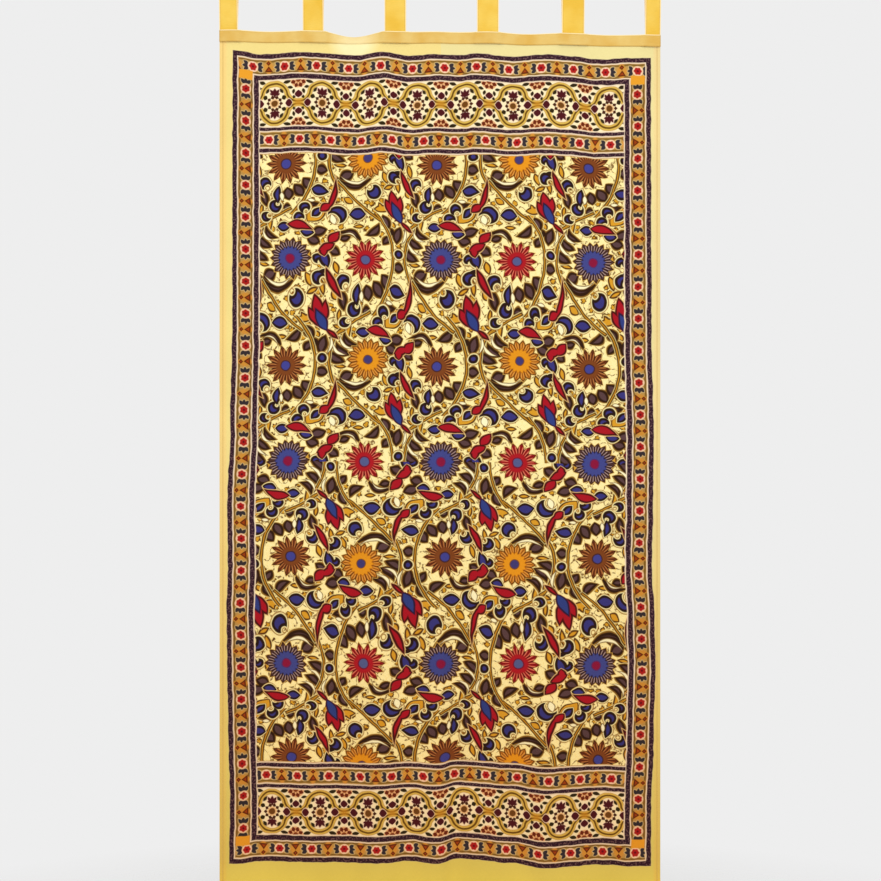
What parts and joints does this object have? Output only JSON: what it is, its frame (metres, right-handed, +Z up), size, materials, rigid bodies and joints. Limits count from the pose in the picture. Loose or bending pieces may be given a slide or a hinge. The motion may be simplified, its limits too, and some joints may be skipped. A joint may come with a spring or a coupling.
{
  "type": "printed tapestry hanging with fabric tabs",
  "caption": "Tall printed cotton cloth with a floral field and bordered edges, hanging in shallow flutes from fabric loops sewn under a plain heading band.",
  "frame": {"origin": "the line on which the fabric loops bear on the rod (the underside of the loops' tops), at the middle of the cloth's width", "axes": "+X across the cloth to the viewer's right, +Z up, the printed face looks along -Y"},
  "size_m": [1.1061, 0.0383, 2.2502],
  "materials": {
    "printed_cotton": "matte plain-weave cotton, printed in plum, blue, red, brown and ochre on a cream yellow ground",
    "heading_cotton": "matte dyed cotton, gold yellow, top-stitched",
    "tab_cotton": "matte dyed cotton, gold yellow, edges folded and stitched"
  },
  "bodies": {
    "root": {"printed_panel": "printed_cotton", "heading_band": "heading_cotton", "tab_1": "tab_cotton", "tab_2": "tab_cotton", "tab_3": "tab_cotton", "tab_4": "tab_cotton", "tab_5": "tab_cotton", "tab_6": "tab_cotton"}
  },
  "joints": []
}
